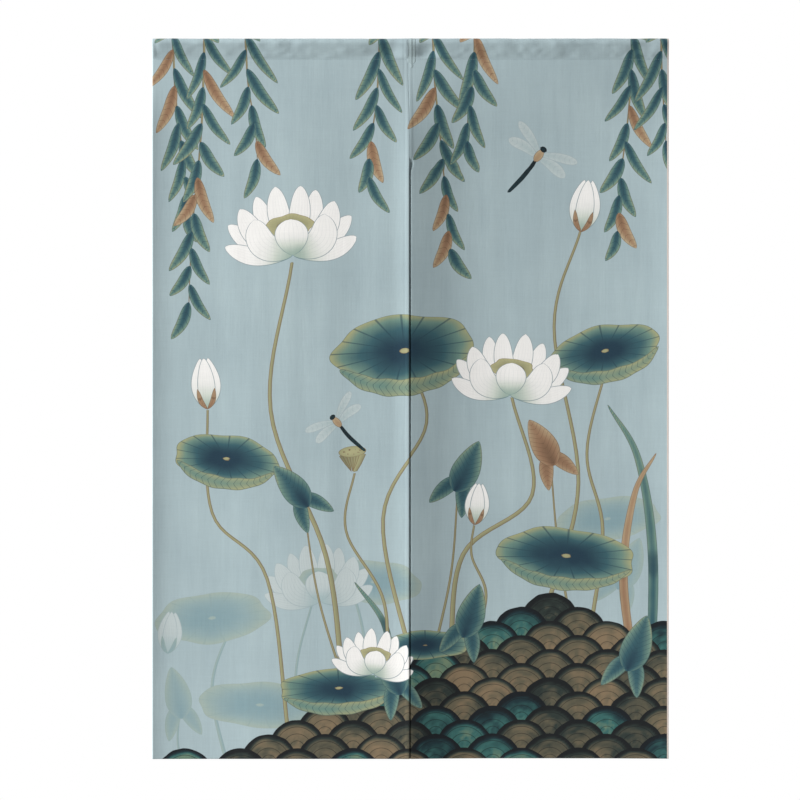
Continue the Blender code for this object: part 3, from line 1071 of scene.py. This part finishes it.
def cloth_sheet(side, material):
    """One panel with its sleeve: a closed loop across the cloth (printed face, rounded edge, back,
    rounded edge) carried along its length, and closed by a strip of faces at each end. Its print
    goes through the cloth, so it lies on the edges and the back too."""
    front = columns()
    back = front[::2][::-1]
    turn = np.array([0.35, 0.65, 1.0, 1.35, 1.65]) * math.pi / 2
    edge = front[0]
    far_edge = HALF - edge + edge * np.sin(turn)
    near_edge = edge - edge * np.sin(turn)
    round_share = (1 - np.cos(turn)) / 2
    across = np.concatenate([front, far_edge, back, near_edge])
    inward = np.concatenate([front * 0, round_share, back * 0 + 1, round_share[::-1]])
    along = rows()
    end = 0.0010
    turns = np.array([0.85, 0.5]) * math.pi / 2
    first = end - end * np.sin(turns)
    last = along[-1] + 0.0004 * np.sin(turns[::-1])
    all_along = np.concatenate([first, along, last])
    tuck = np.concatenate([(1 - np.cos(turns)) / 2, along * 0, (1 - np.cos(turns[::-1])) / 2])
    grid_across, grid_along = np.meshgrid(across, all_along)
    share = tuck[:, None] + inward[None, :] * (1 - 2 * tuck[:, None])
    points = sheet_points(side, grid_across, grid_along, share)

    ring, count = len(across), len(all_along)
    quads = ring_faces(count, ring)
    printed = quads[:, : len(front) - 1].reshape(-1, 4)
    others = quads[:, len(front) - 1 :].reshape(-1, 4)
    if side.sign < 0:
        printed, others = printed[:, ::-1], others[:, ::-1]
    faces = [*printed.tolist(), *others.tolist()]
    top = (count - 1) * ring
    for base, flip in ((0, side.sign > 0), (top, side.sign < 0)):
        faces += [face[::-1] if flip else face for face in end_faces(base, front, back, turn)]
    uv = np.stack([side.sign * grid_across + 1.0, grid_along], axis=-1)
    piece = add_piece(f"{side.name}_cloth", points, faces, material, uv)

    flat_x, flat_z = print_place(side, grid_across, grid_along)
    inked = np.concatenate([printed, others])
    page = Page(flat_x.ravel()[inked], flat_z.ravel()[inked])
    pond(page)
    corners = np.tile(np.array(EMPTY), (len(piece.data.loops), SLOTS, 1))
    corners[: inked.size] = page.slots.reshape(-1, SLOTS, 4)
    for slot, layer in enumerate("abcd"):
        attribute = piece.data.attributes.new(f"ink_{layer}", "FLOAT_COLOR", "CORNER")
        attribute.data.foreach_set("color", corners[:, slot].astype(np.float32).ravel())
    behind = piece.data.attributes.new("back", "FLOAT", "POINT")
    behind.data.foreach_set("value", share.astype(np.float32).ravel())

    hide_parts(f"{side.name}_panel", f"{side.name}_sleeve")


def end_faces(base, front, back, turn):
    """The faces that close one end of the loop: one back column for every two printed ones."""
    n, m, t = len(front), len(back), len(turn)
    back_at = [base + n + t + m - 1 - j for j in range(m)]
    faces = []
    for j in range(m - 1):
        f = base + 2 * j
        faces.append([f, f + 1, f + 2, back_at[j + 1], back_at[j]])
    near = [base + n + t + m + j for j in range(t)]
    far = [base + n + j for j in range(t)]
    faces.append([back_at[0], *near, base])
    faces.append([base + n - 1, *far, back_at[-1]])
    return faces


def tube(path, outward, radius, sides=5):
    """Small closed tubes for stitches: a profile of the given radii carried along each path.

    path is (stitches, stations, 3) and outward the direction away from the cloth at each stitch.
    """
    ahead = path[:, -1] - path[:, 0]
    ahead = ahead / np.linalg.norm(ahead, axis=1)[:, None]
    beside_it = np.cross(ahead, outward)
    turn = np.arange(sides) * 2 * math.pi / sides
    ring = (
        beside_it[:, None, None] * np.cos(turn)[None, None, :, None]
        + outward[:, None, None] * np.sin(turn)[None, None, :, None]
    )
    points = path[:, :, None] + ring * radius[None, :, None, None]
    stitches, stations = path.shape[:2]
    start = (np.arange(stitches) * stations * sides)[:, None]
    quads = (start[:, :, None, None] + ring_faces(stations, sides)).reshape(-1, 4)
    near_cap, far_cap = np.arange(sides)[::-1], (stations - 1) * sides + np.arange(sides)
    caps = np.concatenate([start + near_cap, start + far_cap])
    return points.reshape(-1, 3), [*quads.tolist(), *caps.tolist()]


STITCH = 0.0030  # from one stitch to the next
STITCH_LONG = 0.0024
THREAD = 0.00019  # radius
STITCH_TAPER = np.array([0.35, 0.9, 1.0, 0.9, 0.35])  # shares of the radius, from end to end
STITCH_RISE = np.array([-0.00020, 0.00002, 0.00008, 0.00002, -0.00020])  # above the cloth
SLEEVE_ROW = 0.0006  # below the sleeve's stitch line in front
BOTTOM_ROW = 0.0018  # below the bottom hem's turned edge
SIDE_ROW = 0.0054  # in from a side edge


def stitch_rows(side):
    """The stitches of one panel: pricks under the sleeve in front, and behind the same row again,
    one over the bottom hem and one up each side hem."""
    across = np.arange(SIDE_ROW, HALF - SIDE_ROW, STITCH)
    up = np.arange(BOTTOM_HEM, PANEL_LENGTH - STITCH, STITCH)
    lines = [(across, across * 0 + PANEL_LENGTH - SLEEVE_ROW, False, False)]
    lines.append((across, across * 0 + SLEEVE_RUN + PANEL_LENGTH - SLEEVE_LIP, False, False))
    lines.append((across, across * 0 + BOTTOM_HEM - BOTTOM_ROW, False, True))
    lines += [(up * 0 + place, up, True, True) for place in (SIDE_ROW, HALF - SIDE_ROW)]
    shares = np.linspace(-0.5, 0.5, len(STITCH_RISE))
    paths, outs = [], []
    for places, heights, upright, behind in lines:
        reach = STITCH_LONG * shares[None, :]
        a = places[:, None] + (0 if upright else 1) * reach
        s = heights[:, None] + (1 if upright else 0) * reach
        points, outward = hung(side, a, s)
        if behind:
            points = points - outward * thickness(a, s)[..., None]
            outward = -outward
        paths.append(points + outward * STITCH_RISE[None, :, None])
        outs.append(outward[:, 2])
    return np.concatenate(paths), np.concatenate(outs)


def stitches(side, material):
    """One panel's sewing, as one piece of small closed tubes that thin out to their ends."""
    radius = THREAD * STITCH_TAPER
    path, outward = stitch_rows(side)
    points, faces = tube(path, outward, radius)
    add_piece(f"{side.name}_stitches", points, faces, material)


# The join strip

STRIP_HALF = 0.0066
STRIP_SQUARE_END = 0.0385
STRIP_TIP = 0.0490
STRIP_TIP_SHARE = 0.34  # of its width that is left below the square end
STRIP_TAPER = 0.0045  # the length over which it narrows
STRIP_UNDER = 0.00005  # its underside lies this far inside the cloth's surface


def strip_height(v):
    """How high the strip stands off the cloth at the share v across it, -1 to 1: one thin layer
    with thin edges, a soft ridge left of its middle and a lower one by its right edge."""
    layer = 0.00010 * np.sqrt(np.clip(1 - np.abs(v) ** 9, 0, 1))
    return layer + 0.00024 * bell(v, -0.08, 0.36) + 0.00012 * bell(v, 0.76, 0.20)


def join_strip(material):
    """A strip of cloth over the two sleeves' ends: a thin section carried along the sleeve's own
    face, from its tip in front over the round fold to its tip behind, where it hangs straight
    down."""
    on_cloth = PANEL_LENGTH + np.concatenate(
        [
            np.linspace(STITCH_DEPTH - STRIP_TIP, STITCH_DEPTH - STRIP_SQUARE_END, 10),
            np.linspace(STITCH_DEPTH - STRIP_SQUARE_END, 0.0, 4)[1:],
            np.linspace(0.0, ROUND_START, 10)[1:],
            np.linspace(ROUND_START, ROUND_END, 22)[1:],
            np.linspace(ROUND_END, SLEEVE_RUN - SLEEVE_LIP, 10)[1:],
        ]
    )
    hanging = np.concatenate(
        [
            np.linspace(0.0, STRIP_SQUARE_END - STITCH_DEPTH, 4)[1:],
            np.linspace(STRIP_SQUARE_END - STITCH_DEPTH, STRIP_TIP - STITCH_DEPTH, 10)[1:],
        ]
    )
    along = np.concatenate([on_cloth, hanging * 0 + on_cloth[-1]])
    drop = np.concatenate([on_cloth * 0, hanging])
    v = np.linspace(-1, 1, 33)
    across = np.concatenate([v, v[1:-1][::-1]])
    height = np.concatenate([strip_height(v), v[1:-1] * 0 - STRIP_UNDER])
    depth = STITCH_DEPTH + np.where(along < PANEL_LENGTH, PANEL_LENGTH - along, drop)
    tapered = smooth(depth, STRIP_SQUARE_END, STRIP_SQUARE_END + STRIP_TAPER)
    narrow = 1 - (1 - STRIP_TIP_SHARE) * tapered
    x = JOIN_CENTRE + STRIP_HALF * narrow[:, None] * across[None, :]
    points, outward = hung(RIGHT, np.abs(x - SEAM_TOP), along[:, None])
    points = points + outward * height[None, :, None]
    points[..., 0] = x + 0.00018 * np.sin(points[..., 2] / 0.004 + 1.0)
    points[..., 2] -= drop[:, None]
    count, ring = points.shape[:2]
    front_end, back_end = list(range(ring))[::-1], [(count - 1) * ring + j for j in range(ring)]
    faces = [*ring_faces(count, ring).reshape(-1, 4).tolist(), front_end, back_end]
    run = along + drop
    uv = np.stack(np.broadcast_arrays(STRIP_HALF * across[None, :] + 2.0, run[:, None]), axis=-1)
    piece = add_piece("join_strip_cloth", points, faces, material, uv)
    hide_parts("join_strip")


# Light, camera and stage


def area_light(name, place, size, power):
    """A square white light turned to the middle of the curtain, unseen by the camera."""
    light = bpy.data.lights.new(name, "AREA")
    light.size, light.energy = size, power
    obj = bpy.data.objects.new(name, light)
    obj.location = place
    obj.rotation_euler = (Vector(AIM) - Vector(place)).to_track_quat("-Z", "Y").to_euler()
    obj.visible_camera = False
    bpy.context.scene.collection.objects.link(obj)


def stage_piece(name, points, material):
    """A surface of the studio from a grid of points, closed round its last axis."""
    faces = ring_faces(*points.shape[:2]).reshape(-1, 4).tolist()
    mesh = bpy.data.meshes.new(name)
    mesh.from_pydata(points.reshape(-1, 3).tolist(), [], faces)
    mesh.materials.append(material)
    mesh.shade_smooth()
    obj = bpy.data.objects.new(name, mesh)
    bpy.context.scene.collection.objects.link(obj)
    return obj


FLOOR_LEVEL = -2.05
FLOOR_COLOUR = (0.55, 0.55, 0.54, 1.0)
FLOOR_SOLID = 0.8  # the floor fades into the white room from this radius to its rim
FLOOR_RIM = 7.2
ROOM_RADIUS = 15.0


def add_room():
    """A pale round floor that fades out at its rim, in a white room that only the camera sees."""
    turn = np.linspace(0, 2 * math.pi, 96, endpoint=False)[None, :]
    radius = np.linspace(0.0002, FLOOR_RIM, 40)[:, None]
    flat = np.broadcast_arrays(radius * np.cos(turn), radius * np.sin(turn), FLOOR_LEVEL)
    disc_points = np.stack(flat, axis=-1)
    pale = Shader("floor")
    fade = pale.add("ShaderNodeAttribute", {"attribute_name": "fade"}).value(2)
    pale.set(pale.surface, {"Base Color": FLOOR_COLOUR, "Roughness": 0.9, "Alpha": fade})
    floor = stage_piece("floor", disc_points, pale.material)
    shares = np.broadcast_to(1 - smooth(radius, FLOOR_SOLID, FLOOR_RIM), (radius.size, turn.size))
    layer = floor.data.attributes.new("fade", "FLOAT", "POINT")
    layer.data.foreach_set("value", shares.astype(np.float32).ravel())

    tilt = np.linspace(0.001, math.pi - 0.001, 32)[:, None]
    level, height = ROOM_RADIUS * np.sin(tilt), ROOM_RADIUS * np.cos(tilt)
    round_room = np.broadcast_arrays(level * np.cos(turn), level * np.sin(turn), height)
    dome = np.stack(round_room, axis=-1)
    white = Shader("room")
    white.set(white.surface, {"Base Color": (0.0, 0.0, 0.0, 1.0), "Specular IOR Level": 0.0})
    white.set(white.surface, {"Emission Color": (1.0, 1.0, 1.0, 1.0), "Emission Strength": 1.0})
    room = stage_piece("room", dome, white.material)
    room.visible_diffuse = room.visible_glossy = room.visible_transmission = False
    room.visible_shadow = room.visible_volume_scatter = False


# The photograph, seen square on
PHOTO_PIXELS = 800  # its width and its height
PIXEL = 0.0016655  # metres at the curtain to one pixel
CENTRE_LINE = 410.6  # pixel column of the frame's x = 0
TOP_LINE = 38.5  # pixel row of the curtain's top edge
LENS = 170.0
SENSOR = 36.0


def add_camera():
    """A long lens square to the curtain, far enough off for the photograph's frame."""
    camera = bpy.data.cameras.new("camera")
    camera.lens, camera.sensor_width = LENS, SENSOR
    obj = bpy.data.objects.new("camera", camera)
    middle = PHOTO_PIXELS / 2
    distance = PHOTO_PIXELS * PIXEL * LENS / SENSOR
    obj.location = ((middle - CENTRE_LINE) * PIXEL, -distance, (TOP_LINE - middle) * PIXEL)
    obj.rotation_euler = (math.pi / 2, 0.0, 0.0)
    bpy.context.scene.collection.objects.link(obj)
    bpy.context.scene.camera = obj


# The key light, as degrees to the left of square on, degrees up, distance, size and power
KEY_TURN = math.radians(72.0)
KEY_RISE = math.radians(20.0)
KEY_DISTANCE = 8.0
KEY_SIZE = 4.6
KEY_POWER = 1645.0
FILL_PLACE = (5.2, 3.2, 1.4)  # behind the curtain on the right
FILL_SIZE = 3.0
FILL_POWER = 560.0
SKY_COLOUR = (0.95, 0.97, 1.0, 1.0)
SKY_STRENGTH = 0.045
AIM = (0.0, 0.0, -0.6)  # the middle of the curtain


def add_light_and_stage():
    """A broad soft light grazing the cloth from the left, a weaker one for its back, and an even
    pale room."""
    level = KEY_DISTANCE * math.cos(KEY_RISE)
    height = AIM[2] + KEY_DISTANCE * math.sin(KEY_RISE)
    key_place = (-level * math.sin(KEY_TURN), -level * math.cos(KEY_TURN), height)
    area_light("key", key_place, KEY_SIZE, KEY_POWER)
    area_light("back_fill", FILL_PLACE, FILL_SIZE, FILL_POWER)
    world = bpy.data.worlds.new("studio")
    bpy.context.scene.world = world
    world.use_nodes = True
    sky = world.node_tree.nodes["Background"]
    sky.inputs["Color"].default_value = SKY_COLOUR
    sky.inputs["Strength"].default_value = SKY_STRENGTH
    add_room()
    bpy.context.scene.view_settings.view_transform = "Standard"


add_camera()
add_light_and_stage()
cloth = printed_cloth()
sewing = thread()
join_strip(plain_cloth("join_cloth", GROUND))
for half_curtain in (LEFT, RIGHT):
    cloth_sheet(half_curtain, cloth)
    stitches(half_curtain, sewing)
